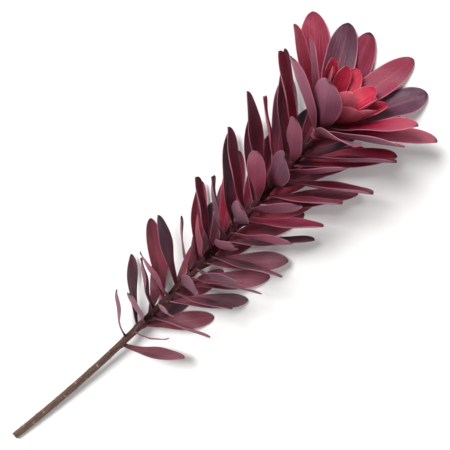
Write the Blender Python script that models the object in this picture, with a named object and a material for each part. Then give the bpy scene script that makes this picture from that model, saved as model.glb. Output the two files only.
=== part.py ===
"""A cut leucadendron stem that lies on a surface, in metres, with +Z up.

The woody stem runs along +Y from its slanted cut to the head. Its lower part is bare, with the low
scars of the leaves that were stripped. Narrow leaves grow on the rest of it in a spiral, and at its
top broad bracts surround smaller ones, which cup a little cone of scales. The cut end and the leaves
and bracts under the stem touch the surface, and they hold the head clear of it.

Every blade, which is a leaf, a bract or a scale, comes from one rule: a midline that leaves the stem
at an angle and bends, a half width along it, and a channel across it. A midline that would pass below
the surface is bent to lie along it, at its full length.
"""
import math
from dataclasses import dataclass

import bpy
import numpy as np

# Woody stem
STEM_LENGTH = 0.520
CUT_RADIUS = 0.0038
TOP_RADIUS = 0.0029
STEM_SIDES = 12
STEM_RINGS = 27
STEM_WOBBLE = 0.04
WOBBLE_LOBES = 3
WOBBLE_TURN = 1.7
CUT_ANGLE = math.radians(50)
BOW = 0.010
HEAD_HEIGHT = 0.037
RISE_POWER = 1.2

# Scars of the stripped leaves
SCAR_FIRST = 0.018
SCAR_LAST = 0.205
SCAR_COUNT = 24
SCAR_HALF_WIDTH = 0.0019
SCAR_HALF_LENGTH = 0.0012
SCAR_PROUD = 0.0006
SCAR_SINK = 0.0005

# Spiral of the leaves, bracts and scales
GOLDEN_ANGLE = math.radians(137.508)
SEED = 7161

# Leaves
LEAF_COUNT = 66
LEAF_FIRST = 0.214
LEAF_LAST = 0.507
LEAF_CROWDING = 0.80
LEAF_LENGTH_LOW = 0.070
LEAF_LENGTH_HIGH = 0.088
LEAF_HALF_WIDTH_LOW = 0.0080
LEAF_HALF_WIDTH_HIGH = 0.0106
LEAF_WIDEST = 0.60
LEAF_ROOT_TILT_LOW = math.radians(55)
LEAF_ROOT_TILT_HIGH = math.radians(52)
LEAF_TIP_TILT = math.radians(38)
LEAF_CHANNEL = 0.24
LEAF_WAVE = 0.0006
LEAF_FORWARD_PART = 0.72

# How far leaves differ from one another. The looser, lower ones differ more.
LEAF_FIRMNESS = 0.7
LEAF_TURN_SPREAD = 0.16
LEAF_SIZE_SPREAD = 0.08
LEAF_ROOT_TILT_SPREAD = math.radians(5)
LEAF_TIP_TILT_SPREAD = math.radians(12)
LEAF_SIDE_BEND_SPREAD = 0.40
LEAF_ROLL_SPREAD = 0.35
LEAF_TWIST_SPREAD = 0.60
LEAF_CHANNEL_SPREAD = 0.12

# Short stretches of stem that carry the head, stacked above the woody stem
NODE_GAP = 0.0003
OUTER_SEAT_LENGTH = 0.0190
INNER_SEAT_LENGTH = 0.0105
OUTER_SEAT_RADIUS = 0.0042
INNER_SEAT_RADIUS = 0.0052
SEAT_SIDES = 12
SEAT_PARTS = (0.0, 0.15, 0.5, 0.85, 1.0)
SEAT_SWELLS = (0.0, 0.4, 0.9, 1.0, 0.9)

# Outer bracts
OUTER_COUNT = 13
OUTER_LENGTH = 0.092
OUTER_HALF_WIDTH = 0.0128
OUTER_LENGTH_LOSS = 0.14
OUTER_WIDTH_LOSS = 0.08
OUTER_FIRST_SEAT = 0.0032
OUTER_SEAT_SPREAD = 0.0115
OUTER_ROOT_TILT = math.radians(52)
OUTER_TIP_TILT_LOW = math.radians(56)
OUTER_TIP_TILT_HIGH = math.radians(34)
OUTER_CHANNEL = 0.27
OUTER_WAVE = 0.0005
OUTER_FORWARD = 0.078
OUTER_TURN_SPREAD = 0.08
OUTER_LENGTH_SPREAD = 0.05
OUTER_WIDTH_SPREAD = 0.06
OUTER_TIP_TILT_SPREAD = math.radians(4)
OUTER_SIDE_BEND_SPREAD = 0.26
OUTER_ROLL_SPREAD = 0.12
OUTER_TWIST_SPREAD = 0.30
OUTER_CHANNEL_SPREAD = 0.05

# Inner bracts
INNER_COUNT = 11
INNER_LENGTH = 0.043
INNER_HALF_WIDTH = 0.0098
INNER_LENGTH_LOSS = 0.18
INNER_WIDTH_LOSS = 0.16
INNER_FIRST_SEAT = 0.0024
INNER_SEAT_SPREAD = 0.0050
INNER_ROOT_TILT_LOW = math.radians(70)
INNER_ROOT_TILT_HIGH = math.radians(60)
INNER_TIP_TILT_LOW = math.radians(27)
INNER_TIP_TILT_HIGH = math.radians(9)
INNER_WIDEST = 0.58
INNER_CHANNEL = 0.32
INNER_LENGTH_SPREAD = 0.04
INNER_WIDTH_SPREAD = 0.05
INNER_TIP_TILT_SPREAD = math.radians(3)
INNER_ROLL_SPREAD = 0.03
INNER_CHANNEL_SPREAD = 0.03

# Cone
CONE_LENGTH = 0.0190
CONE_RADIUS = 0.0064
CONE_BASE_SHARE = 0.62
CONE_SWELL_END = 0.75
CONE_TIP_POWER = 3
CONE_TIP_ROUNDING = 0.8
CONE_TOP = 0.985
CONE_SIDES = 9
CONE_RINGS = 8

# Scales of the cone, smaller and more closed towards its tip
SCALE_COUNT = 32
SCALE_LENGTH = 0.0062
SCALE_HALF_WIDTH = 0.0021
SCALE_SHRINK = 0.45
SCALE_FIRST = 0.08
SCALE_LAST = 0.80
SCALE_ROOT_TILT_LOW = math.radians(34)
SCALE_ROOT_TILT_HIGH = math.radians(24)
SCALE_TIP_TILT_LOW = math.radians(-4)
SCALE_TIP_TILT_HIGH = math.radians(-18)
SCALE_LIFT = 0.0009
SCALE_WIDEST = 0.5
SCALE_CHANNEL = 0.25
SCALE_ROOT_THICKNESS = 0.0008

# Blades
BLADE_THICKNESS = 0.0007
ROOT_THICKNESS = 0.0017
ROOT_SINK = 0.0018
ROOT_FADE = 0.07
MIDLINE_STEPS = 60
BRACT_BEND_POWER = 0.5
ROOT_WIDTH = 0.16
TIP_WIDTH = 0.14
SWELL_POWER = 1.25
TIP_POWER = 2.3
TIP_ROUNDING = 0.54
CREASE_SHARE = 0.35
WAVE_TURNS = 11
WAVE_SKEW = 1.3
WAVE_PHASE_SPREAD = 3
UNION_SOLVER = "EXACT"

# How a blade lies on the surface
PRESS = 0.0004
SHINGLE_SLOPE = 0.085
BEND_SOFTNESS = 0.0035
LIFT_FADE = 0.2
STEEPEST = 0.97
FLATTEN_HEIGHT = 0.008
FLATTEST = 0.1
LEAST_ROOM = 0.02
CONTACT_REACH = 0.00015
LEVEL_POWER = 4
LEVEL_NUDGE = 0.02

LEAF_STATIONS = (0.0, 0.13, 0.34, 0.56, 0.76, 0.92, 1.0)
BRACT_STATIONS = (0.0, 0.11, 0.27, 0.45, 0.63, 0.79, 0.93, 1.0)
SCALE_STATIONS = (0.0, 0.55, 1.0)
NARROW_LANES = (-1.0, 0.0, 1.0)
BROAD_LANES = (-1.0, -0.5, 0.0, 0.5, 1.0)


@dataclass
class Blade:
    """One leaf, bract or scale: where it grows, its size, and how it bends."""

    height: float
    azimuth: float
    length: float
    half_width: float
    tilt_root: float
    tilt_tip: float
    seat_radius: float
    bend_power: float = 0.6
    widest: float = 0.6
    side_bend: float = 0.0
    roll: float = 0.0
    twist: float = 0.0
    channel: float = 0.2
    wave: float = 0.0
    wave_phase: float = 0.0
    forward: float = 0.0
    root_thickness: float = ROOT_THICKNESS


def unit(vectors):
    """The same vectors at length one."""
    return vectors / np.linalg.norm(vectors, axis=-1, keepdims=True)


def between(low, high, part):
    """The value at a part of the way from one value to another."""
    return low + (high - low) * part


def axis_point(height):
    """Point on the stem's axis: a shallow bow to one side and a rise that steepens to the head."""
    part = np.asarray(height, dtype=float) / STEM_LENGTH
    sideways = BOW * 4 * part * (1 - part)
    rise = (HEAD_HEIGHT - CUT_RADIUS) * np.clip(part, 0, None) ** RISE_POWER
    return np.stack([sideways, part * STEM_LENGTH, CUT_RADIUS + rise], axis=-1)


def axis_frame(height):
    """Unit vectors along the stem, to its side and away from the surface."""
    step = 0.0005
    along = unit(axis_point(height + step) - axis_point(max(height - step, 0.0)))
    side = unit(np.cross(along, (0.0, 0.0, 1.0)))
    return along, side, np.cross(side, along)


def half_width(blade, part):
    """Half width along a blade: a narrow root, a swell, and a rounded tip."""
    swell = np.sin(0.5 * math.pi * np.clip(part / blade.widest, 0, 1)) ** SWELL_POWER
    rising = between(ROOT_WIDTH, 1, swell)
    past = np.clip((part - blade.widest) / (1 - blade.widest), 0, 1)
    falling = (1 - past ** TIP_POWER) ** TIP_ROUNDING
    return blade.half_width * np.maximum(np.where(part < blade.widest, rising, falling), TIP_WIDTH)


def blade_midline(blade):
    """Midline of a blade, bent along the surface where it would pass below it.

    Returns its points, the way it points at each, and its room above the surface.
    """
    part = np.linspace(0, 1, MIDLINE_STEPS + 1)
    step = blade.length / MIDLINE_STEPS
    along, side, up = axis_frame(blade.height)
    outward = side * math.cos(blade.azimuth) + up * math.sin(blade.azimuth)
    around = -side * math.sin(blade.azimuth) + up * math.cos(blade.azimuth)
    tilt = between(blade.tilt_root, blade.tilt_tip, part ** blade.bend_power)[:, None]
    swing = (blade.side_bend * part)[:, None]
    way = along * np.cos(tilt) + (outward * np.cos(swing) + around * np.sin(swing)) * np.sin(tilt)
    moves = 0.5 * (way[1:] + way[:-1]) * step
    start = axis_point(blade.height) + outward * (blade.seat_radius - ROOT_SINK)
    points = np.vstack([start, start + np.cumsum(moves, axis=0)])

    advance = points[:, 1] - points[0, 1]
    lowest = BLADE_THICKNESS / 2 - PRESS + SHINGLE_SLOPE * np.clip(blade.forward - advance, 0, None)
    room = points[:, 2] - lowest
    lifted = lowest + 0.5 * (room + np.sqrt(room ** 2 + BEND_SOFTNESS ** 2))
    fade = np.clip(part / LIFT_FADE, 0, 1)
    height = between(points[:, 2], lifted, fade * fade * (3 - 2 * fade))
    rise = np.clip(np.diff(height), -STEEPEST * step, STEEPEST * step)
    level = moves[:, :2] / np.linalg.norm(moves[:, :2], axis=1, keepdims=True)
    level = level * np.sqrt(step ** 2 - rise ** 2)[:, None]
    bent = np.column_stack([level, rise])
    points = np.vstack([start, start + np.cumsum(bent, axis=0)])
    return points, unit(np.gradient(points, axis=0)), points[:, 2] - lowest


def blade_sheet(blade, stations, lanes):
    """Middle surface of a blade and its normals, on a grid of stations along it and lanes across."""
    part = np.asarray(stations)
    lane = np.asarray(lanes)[None, :, None]
    fine = np.linspace(0, 1, MIDLINE_STEPS + 1)
    points, ways, rooms = blade_midline(blade)
    middle = np.column_stack([np.interp(part, fine, points[:, i]) for i in range(3)])
    way = unit(np.column_stack([np.interp(part, fine, ways[:, i]) for i in range(3)]))
    room = np.interp(part, fine, rooms)
    width = half_width(blade, part)

    _, side, up = axis_frame(blade.height)
    around = -side * math.sin(blade.azimuth) + up * math.cos(blade.azimuth)
    across = unit(around - way * (way @ around)[:, None])
    turn = (blade.roll + blade.twist * part)[:, None]
    across = across * np.cos(turn) + np.cross(across, way) * np.sin(turn)
    across = level_near_surface(across, room, width, blade.azimuth)
    across = unit(across - way * np.sum(across * way, axis=1, keepdims=True))
    face = np.cross(across, way)

    free = between(FLATTEST, 1, np.clip(room / FLATTEN_HEIGHT, 0, 1))[:, None, None]
    reach = width[:, None, None] * lane
    hollow = blade.channel * between(lane ** 2, np.abs(lane), CREASE_SHARE) * width[:, None, None]
    turn = WAVE_TURNS * part[:, None, None] + blade.wave_phase + WAVE_SKEW * lane
    ripple = blade.wave * np.sin(turn) * lane ** 2
    sheet = middle[:, None] + across[:, None] * reach + face[:, None] * (hollow + ripple) * free
    normal = unit(np.cross(np.gradient(sheet, axis=1), np.gradient(sheet, axis=0)))
    return sheet, normal


def level_near_surface(across, room, width, azimuth):
    """Turn a blade flat where it has less room below it than its half width."""
    limit = np.clip(room / width, LEAST_ROOM, None)
    rise = across[:, 2] / (1 + (np.abs(across[:, 2]) / limit) ** LEVEL_POWER) ** (1 / LEVEL_POWER)
    level = across[:, :2] + np.array([-LEVEL_NUDGE * math.sin(azimuth), 0.0])
    level = level / np.linalg.norm(level, axis=1, keepdims=True)
    return np.column_stack([level * np.sqrt(1 - np.clip(rise, -1, 1) ** 2)[:, None], rise])


def press_down(points):
    """Points that are below the surface, or almost touch it, are set on it."""
    points[points[:, 2] < CONTACT_REACH, 2] = 0.0
    return points


def blade_solid(name, blade, stations, lanes):
    """Closed solid of a blade: two like faces, a thickness apart, and a rim between them."""
    sheet, normal = blade_sheet(blade, stations, lanes)
    part = np.asarray(stations)[:, None, None]
    thickness = between(BLADE_THICKNESS, blade.root_thickness, np.exp(-part / ROOT_FADE))
    upper = sheet + normal * thickness / 2
    lower = sheet - normal * thickness / 2
    sunk = np.clip(-np.minimum(upper[:, :, 2], lower[:, :, 2]), 0, None)
    upper[:, :, 2] += sunk
    lower[:, :, 2] += sunk
    points = press_down(np.concatenate([upper.reshape(-1, 3), lower.reshape(-1, 3)]))

    rows, columns = len(stations), len(lanes)
    count = rows * columns
    faces = []
    for row in range(rows - 1):
        for column in range(columns - 1):
            a = row * columns + column
            b, c, d = a + 1, a + columns + 1, a + columns
            faces += [(a, b, c), (a, c, d)]
            faces += [(a + count, c + count, b + count), (a + count, d + count, c + count)]
    edge = list(range(columns))
    edge += [row * columns + columns - 1 for row in range(1, rows)]
    edge += [(rows - 1) * columns + column for column in range(columns - 2, -1, -1)]
    edge += [row * columns for row in range(rows - 2, 0, -1)]
    for start, end in zip(edge, edge[1:] + edge[:1]):
        faces += [(start, start + count, end + count), (start, end + count, end)]
    return mesh_object(name, points, faces)


def mesh_object(name, points, faces):
    """An object in the scene from points and faces."""
    mesh = bpy.data.meshes.new(name)
    mesh.from_pydata([tuple(point) for point in points], [], [tuple(face) for face in faces])
    mesh.validate()
    thing = bpy.data.objects.new(name, mesh)
    bpy.context.scene.collection.objects.link(thing)
    return thing


def lathe_object(name, heights, radii, sides, slant=0.0, wobble=0.0):
    """A closed round solid along the stem's axis, with its lower face slanted by the given angle."""
    angle = 2 * math.pi * (np.arange(sides) + 0.5) / sides
    rings = []
    for index, (height, radius) in enumerate(zip(heights, radii)):
        along, side, up = axis_frame(height)
        swell = 1 + wobble * np.sin(WOBBLE_LOBES * angle + WOBBLE_TURN * index) * (index > 0)
        offset = (np.outer(np.cos(angle), side) + np.outer(np.sin(angle), up)) * (radius * swell)[:, None]
        ring = axis_point(height) + offset
        if index == 0:
            ring = ring + np.outer(np.sin(angle) * radius * math.tan(slant), along)
        rings.append(ring)
    faces = [tuple(range(sides))]
    for index in range(len(rings) - 1):
        low = index * sides
        for corner in range(sides):
            after = (corner + 1) % sides
            faces.append((low + corner, low + sides + corner, low + sides + after, low + after))
    top = (len(rings) - 1) * sides
    faces.append(tuple(top + corner for corner in reversed(range(sides))))
    return mesh_object(name, press_down(np.concatenate(rings)), faces)


def draws(offset, count, columns):
    """Seeded random numbers from -1 to 1, a row for each blade."""
    return np.random.default_rng(SEED + offset).uniform(-1, 1, (count, columns))


def stem_radius(height):
    """Radius of the woody stem, which thins to its top."""
    return between(CUT_RADIUS, TOP_RADIUS, height / STEM_LENGTH)


def leaf_blades():
    """Leaves in a spiral up the stem, longer, wider and steeper towards the head."""
    blades = []
    for index, draw in enumerate(draws(1, LEAF_COUNT, 8)):
        part = index / (LEAF_COUNT - 1)
        height = between(LEAF_FIRST, LEAF_LAST, part ** LEAF_CROWDING)
        length = between(LEAF_LENGTH_LOW, LEAF_LENGTH_HIGH, part)
        width = between(LEAF_HALF_WIDTH_LOW, LEAF_HALF_WIDTH_HIGH, part)
        root_tilt = between(LEAF_ROOT_TILT_LOW, LEAF_ROOT_TILT_HIGH, part)
        loose = 1 - LEAF_FIRMNESS * part ** 2
        forward = LEAF_FORWARD_PART * length
        blades.append(Blade(
            height=height, azimuth=index * GOLDEN_ANGLE + LEAF_TURN_SPREAD * draw[0],
            length=length * (1 + LEAF_SIZE_SPREAD * draw[1]),
            half_width=width * (1 + LEAF_SIZE_SPREAD * draw[2]),
            tilt_root=root_tilt + LEAF_ROOT_TILT_SPREAD * loose * draw[7],
            tilt_tip=LEAF_TIP_TILT + LEAF_TIP_TILT_SPREAD * loose * draw[3],
            seat_radius=stem_radius(height), widest=LEAF_WIDEST,
            side_bend=LEAF_SIDE_BEND_SPREAD * loose * draw[4], roll=LEAF_ROLL_SPREAD * loose * draw[5],
            twist=LEAF_TWIST_SPREAD * loose * draw[6], channel=LEAF_CHANNEL + LEAF_CHANNEL_SPREAD * draw[7],
            wave=LEAF_WAVE, wave_phase=WAVE_PHASE_SPREAD * draw[0], forward=forward))
    return blades


def outer_blades():
    """Broad bracts round the head, each a little steeper than the one below it."""
    blades = []
    for index, draw in enumerate(draws(2, OUTER_COUNT, 8)):
        part = index / (OUTER_COUNT - 1)
        tip_tilt = between(OUTER_TIP_TILT_LOW, OUTER_TIP_TILT_HIGH, part)
        blades.append(Blade(
            height=STEM_LENGTH + OUTER_FIRST_SEAT + OUTER_SEAT_SPREAD * part,
            azimuth=(LEAF_COUNT + index) * GOLDEN_ANGLE + OUTER_TURN_SPREAD * draw[0],
            length=OUTER_LENGTH * (1 - OUTER_LENGTH_LOSS * part + OUTER_LENGTH_SPREAD * draw[1]),
            half_width=OUTER_HALF_WIDTH * (1 - OUTER_WIDTH_LOSS * part + OUTER_WIDTH_SPREAD * draw[2]),
            tilt_root=OUTER_ROOT_TILT, tilt_tip=tip_tilt + OUTER_TIP_TILT_SPREAD * draw[3],
            seat_radius=OUTER_SEAT_RADIUS, bend_power=BRACT_BEND_POWER,
            side_bend=OUTER_SIDE_BEND_SPREAD * draw[4], roll=OUTER_ROLL_SPREAD * draw[5],
            twist=OUTER_TWIST_SPREAD * draw[6], channel=OUTER_CHANNEL + OUTER_CHANNEL_SPREAD * draw[7],
            wave=OUTER_WAVE, wave_phase=WAVE_PHASE_SPREAD * draw[0], forward=OUTER_FORWARD))
    return blades


def inner_blades():
    """Short cupped bracts that close round the cone."""
    blades = []
    base = STEM_LENGTH + OUTER_SEAT_LENGTH + NODE_GAP
    for index, draw in enumerate(draws(3, INNER_COUNT, 8)):
        part = index / (INNER_COUNT - 1)
        tip_tilt = between(INNER_TIP_TILT_LOW, INNER_TIP_TILT_HIGH, part)
        blades.append(Blade(
            height=base + INNER_FIRST_SEAT + INNER_SEAT_SPREAD * part,
            azimuth=(LEAF_COUNT + OUTER_COUNT + index) * GOLDEN_ANGLE,
            length=INNER_LENGTH * (1 - INNER_LENGTH_LOSS * part + INNER_LENGTH_SPREAD * draw[1]),
            half_width=INNER_HALF_WIDTH * (1 - INNER_WIDTH_LOSS * part + INNER_WIDTH_SPREAD * draw[2]),
            tilt_root=between(INNER_ROOT_TILT_LOW, INNER_ROOT_TILT_HIGH, part),
            tilt_tip=tip_tilt + INNER_TIP_TILT_SPREAD * draw[3],
            seat_radius=INNER_SEAT_RADIUS, bend_power=BRACT_BEND_POWER, widest=INNER_WIDEST,
            roll=INNER_ROLL_SPREAD * draw[5], channel=INNER_CHANNEL + INNER_CHANNEL_SPREAD * draw[7]))
    return blades


def cone_radius(part):
    """Radius of the cone's core, from its seat to its tip."""
    swell = np.sin(math.pi * np.clip(part / CONE_SWELL_END, 0, 1))
    rounding = (1 - part ** CONE_TIP_POWER) ** CONE_TIP_ROUNDING
    return CONE_RADIUS * between(CONE_BASE_SHARE, 1, swell) * rounding


def scale_blades():
    """Small scales that overlap in a spiral over the cone."""
    blades = []
    base = STEM_LENGTH + OUTER_SEAT_LENGTH + INNER_SEAT_LENGTH + 2 * NODE_GAP
    for index in range(SCALE_COUNT):
        part = index / (SCALE_COUNT - 1)
        size = 1 - SCALE_SHRINK * part
        place = between(SCALE_FIRST, SCALE_LAST, part)
        blades.append(Blade(
            height=base + CONE_LENGTH * place, azimuth=index * GOLDEN_ANGLE,
            length=SCALE_LENGTH * size, half_width=SCALE_HALF_WIDTH * size,
            tilt_root=between(SCALE_ROOT_TILT_LOW, SCALE_ROOT_TILT_HIGH, part),
            tilt_tip=between(SCALE_TIP_TILT_LOW, SCALE_TIP_TILT_HIGH, part),
            seat_radius=float(cone_radius(place)) + SCALE_LIFT, widest=SCALE_WIDEST,
            channel=SCALE_CHANNEL, bend_power=1.0, root_thickness=SCALE_ROOT_THICKNESS))
    return blades


def scar_object(name, height, azimuth):
    """A low eight-sided bump, the scar of a stripped leaf."""
    along, side, up = axis_frame(height)
    outward = side * math.cos(azimuth) + up * math.sin(azimuth)
    around = -side * math.sin(azimuth) + up * math.cos(azimuth)
    centre = axis_point(height) + outward * (stem_radius(height) - SCAR_SINK)
    depth = SCAR_SINK + SCAR_PROUD
    points = [centre + along * SCAR_HALF_LENGTH, centre + around * SCAR_HALF_WIDTH,
              centre - along * SCAR_HALF_LENGTH, centre - around * SCAR_HALF_WIDTH,
              centre + outward * depth, centre - outward * depth]
    faces = [(0, 1, 4), (1, 2, 4), (2, 3, 4), (3, 0, 4), (1, 0, 5), (2, 1, 5), (3, 2, 5), (0, 3, 5)]
    return mesh_object(name, points, faces)


def join_by_union(core, pieces):
    """Join pieces to a core as one body, and remove the pieces."""
    group = bpy.data.collections.new(core.name + "_pieces")
    for piece in pieces:
        bpy.context.scene.collection.objects.unlink(piece)
        group.objects.link(piece)
    union = core.modifiers.new("union", "BOOLEAN")
    union.operation = "UNION"
    union.solver = UNION_SOLVER
    union.operand_type = "COLLECTION"
    union.collection = group
    bpy.context.view_layer.update()
    solid = bpy.data.meshes.new_from_object(core.evaluated_get(bpy.context.evaluated_depsgraph_get()))
    core.modifiers.clear()
    core.data = solid
    for piece in pieces:
        bpy.data.objects.remove(piece)
    bpy.data.collections.remove(group)
    return core


def material(name, colour, roughness):
    """A plain matte or satin finish."""
    finish = bpy.data.materials.new(name)
    finish.use_nodes = True
    shader = finish.node_tree.nodes["Principled BSDF"]
    shader.inputs["Base Color"].default_value = (*colour, 1.0)
    shader.inputs["Roughness"].default_value = roughness
    shader.inputs["Metallic"].default_value = 0.0
    return finish


def leafy_stem():
    """The woody stem with its scars and leaves, as one body."""
    heights = np.linspace(0, STEM_LENGTH, STEM_RINGS)
    stem = lathe_object("leafy_stem", heights, stem_radius(heights), STEM_SIDES, CUT_ANGLE, STEM_WOBBLE)
    scars = np.linspace(SCAR_FIRST, SCAR_LAST, SCAR_COUNT)
    pieces = [scar_object(f"scar_{i}", height, i * GOLDEN_ANGLE) for i, height in enumerate(scars)]
    for index, blade in enumerate(leaf_blades()):
        pieces.append(blade_solid(f"leaf_{index}", blade, LEAF_STATIONS, NARROW_LANES))
    return join_by_union(stem, pieces)


def seat_object(name, start, length, low_radius, high_radius):
    """A short stretch of stem that carries bracts, a little waisted at its ends."""
    heights = start + length * np.array(SEAT_PARTS)
    radii = between(low_radius, high_radius, np.array(SEAT_SWELLS))
    return lathe_object(name, heights, radii, SEAT_SIDES)


def outer_bracts():
    """The broad bracts on their stretch of stem."""
    seat = seat_object("outer_bracts", STEM_LENGTH + NODE_GAP, OUTER_SEAT_LENGTH - NODE_GAP,
                       TOP_RADIUS, OUTER_SEAT_RADIUS)
    pieces = [blade_solid(f"outer_{i}", blade, BRACT_STATIONS, BROAD_LANES)
              for i, blade in enumerate(outer_blades())]
    return join_by_union(seat, pieces)


def inner_bracts():
    """The small bracts on their stretch of stem."""
    start = STEM_LENGTH + OUTER_SEAT_LENGTH + NODE_GAP
    seat = seat_object("inner_bracts", start, INNER_SEAT_LENGTH, OUTER_SEAT_RADIUS, INNER_SEAT_RADIUS)
    pieces = [blade_solid(f"inner_{i}", blade, BRACT_STATIONS, BROAD_LANES)
              for i, blade in enumerate(inner_blades())]
    return join_by_union(seat, pieces)


def cone():
    """The cone: a rounded core under its scales."""
    start = STEM_LENGTH + OUTER_SEAT_LENGTH + INNER_SEAT_LENGTH + 2 * NODE_GAP
    part = np.linspace(0, CONE_TOP, CONE_RINGS)
    core = lathe_object("cone", start + CONE_LENGTH * part, cone_radius(part), CONE_SIDES)
    pieces = [blade_solid(f"scale_{i}", blade, SCALE_STATIONS, NARROW_LANES)
              for i, blade in enumerate(scale_blades())]
    return join_by_union(core, pieces)


def centre_on_base(things):
    """Move every mesh so that the box of all of them is centred on the origin, with its base at z 0."""
    points = np.concatenate([[vertex.co for vertex in thing.data.vertices] for thing in things])
    low, high = points.min(axis=0), points.max(axis=0)
    shift = np.array([-(low[0] + high[0]) / 2, -(low[1] + high[1]) / 2, -low[2]])
    for thing in things:
        for vertex in thing.data.vertices:
            vertex.co = vertex.co[0] + shift[0], vertex.co[1] + shift[1], vertex.co[2] + shift[2]


def main():
    """Clear the scene and build the four bodies."""
    for thing in list(bpy.data.objects):
        bpy.data.objects.remove(thing)
    finishes = {
        "leafy_stem": ((0.085, 0.012, 0.020), 0.50),
        "outer_bracts": ((0.180, 0.018, 0.036), 0.45),
        "inner_bracts": ((0.420, 0.022, 0.035), 0.42),
        "cone": ((0.480, 0.120, 0.060), 0.60),
    }
    things = [leafy_stem(), outer_bracts(), inner_bracts(), cone()]
    centre_on_base(things)
    for thing in things:
        colour, roughness = finishes[thing.name]
        thing.data.materials.clear()
        thing.data.materials.append(material(thing.name + "_finish", colour, roughness))


main()
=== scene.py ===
import math

import bpy
import numpy as np
from mathutils import Matrix, Vector


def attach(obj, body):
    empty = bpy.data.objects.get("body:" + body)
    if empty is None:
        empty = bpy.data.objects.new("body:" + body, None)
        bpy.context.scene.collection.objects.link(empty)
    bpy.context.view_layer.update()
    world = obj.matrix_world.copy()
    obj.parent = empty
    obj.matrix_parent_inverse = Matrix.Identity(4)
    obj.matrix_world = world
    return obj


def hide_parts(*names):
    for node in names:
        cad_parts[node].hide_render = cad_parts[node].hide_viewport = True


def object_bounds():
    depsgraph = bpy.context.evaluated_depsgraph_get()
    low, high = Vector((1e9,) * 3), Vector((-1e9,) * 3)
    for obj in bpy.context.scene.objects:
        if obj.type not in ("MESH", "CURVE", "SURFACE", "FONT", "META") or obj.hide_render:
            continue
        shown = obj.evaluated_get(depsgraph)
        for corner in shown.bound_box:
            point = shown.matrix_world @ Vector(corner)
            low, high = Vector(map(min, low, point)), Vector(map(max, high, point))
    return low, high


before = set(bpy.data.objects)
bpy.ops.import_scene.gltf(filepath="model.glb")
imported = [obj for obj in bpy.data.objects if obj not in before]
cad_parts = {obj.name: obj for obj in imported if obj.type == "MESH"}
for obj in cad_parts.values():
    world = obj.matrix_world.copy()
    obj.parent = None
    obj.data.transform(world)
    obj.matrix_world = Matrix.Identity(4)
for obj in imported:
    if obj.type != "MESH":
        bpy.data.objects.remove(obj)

# A cut leucadendron stem that lies on a pale floor. It runs along +Y from its slanted cut to the head.
# Every leaf, bract and scale is one blade rule on a fine grid, with the same draws as the solids that
# it stands for, so each blade lies where its solid does.

cadLow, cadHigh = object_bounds()

sharpAngle = math.radians(50)        # faces that meet at more keep a crisp edge

# The plant's driving sizes, in metres
plant = {
    "stemLength": 0.520, "cutRadius": 0.0038, "topRadius": 0.0029, "bow": 0.010,
    "headHeight": 0.037, "risePower": 1.2, "nodeGap": 0.0003,
    "outerSeatLength": 0.0190, "innerSeatLength": 0.0105,
    "outerSeatRadius": 0.0042, "innerSeatRadius": 0.0052,
    "goldenAngle": math.radians(137.508), "seed": 7161,
}

# How a blade lies on the floor, how thick its solid is, and how smoothly its root joins the stem
rest = {
    "press": 0.0004, "shingleSlope": 0.085, "bendSoftness": 0.0035, "flattenHeight": 0.008,
    "solidThickness": 0.0007, "rootSink": 0.0018, "rootFade": 0.07, "midlineSteps": 60,
    "rootBand": 0.1, "liftFade": 0.2, "steepest": 0.97, "flattest": 0.02, "levelTurn": 0.02,
    "stiffness": 0.1,
}

# What every blade's outline and surface share: powers of the outline, how narrow it is at the neck, the
# crease along the midrib, and the pace of the edge ripple and of the slow swells
bladeShape = {
    "neck": 0.16, "swellPower": 1.25, "tipRound": 2.3, "tipPower": 0.54,
    "narrowest": 0.02, "widestEdge": 0.14, "creaseShare": 0.35, "creaseWidth": 0.1,
    "ripplePace": 11, "rippleShift": 1.3, "swellAlong": 5.3, "swellShift": 2.1, "swellAcross": 1.9,
    "swellTurn": 7, "rowCrowding": 1.35, "laneCrowding": 0.82, "ribEnd": 1.08, "ribStart": 12,
}


# Vectors at length one
def unit(vectors):
    return vectors / np.linalg.norm(vectors, axis=-1, keepdims=True)


# The value at a share of the way from one value to another
def between(first, last, share):
    return first + (last - first) * share


# The stem's axis: x is a parabola of the given bow, y is the height along the stem, and z rises from
# the cut's radius to the head's height as the share of the length to a power
def axisPoint(height):
    share = np.asarray(height, dtype=float) / plant["stemLength"]
    lift = (plant["headHeight"] - plant["cutRadius"]) * np.clip(share, 0, None) ** plant["risePower"]
    return np.stack([plant["bow"] * 4 * share * (1 - share), share * plant["stemLength"],
                     plant["cutRadius"] + lift], axis=-1)


# Directions along the axis, to its side and up from the floor, at any number of heights
def axisFrame(height):
    height = np.asarray(height, dtype=float)
    step = 0.0005
    along = unit(axisPoint(height + step) - axisPoint(np.maximum(height - step, 0)))
    side = unit(np.cross(along, (0.0, 0.0, 1.0)))
    return along, side, np.cross(side, along)


# Directions outwards round the axis, a row for each height and a column for each angle
def roundAxis(heights, angle):
    side, up = axisFrame(heights)[1:]
    return side[:, None] * np.cos(angle)[None, :, None] + up[:, None] * np.sin(angle)[None, :, None]


# Half width along a blade: a quarter sine to the widest place, then a super-ellipse that closes the tip
def halfWidth(blade, share, blunt):
    s = bladeShape
    swell = np.sin(0.5 * math.pi * np.clip(share / blade["widest"], 0, 1)) ** s["swellPower"]
    rising = between(s["neck"], 1, swell)
    past = np.clip((share - blade["widest"]) / (1 - blade["widest"]), 0, 1)
    falling = (1 - past ** s["tipRound"]) ** s["tipPower"]
    return blade["halfWidth"] * np.maximum(np.where(share < blade["widest"], rising, falling), blunt)


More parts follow.
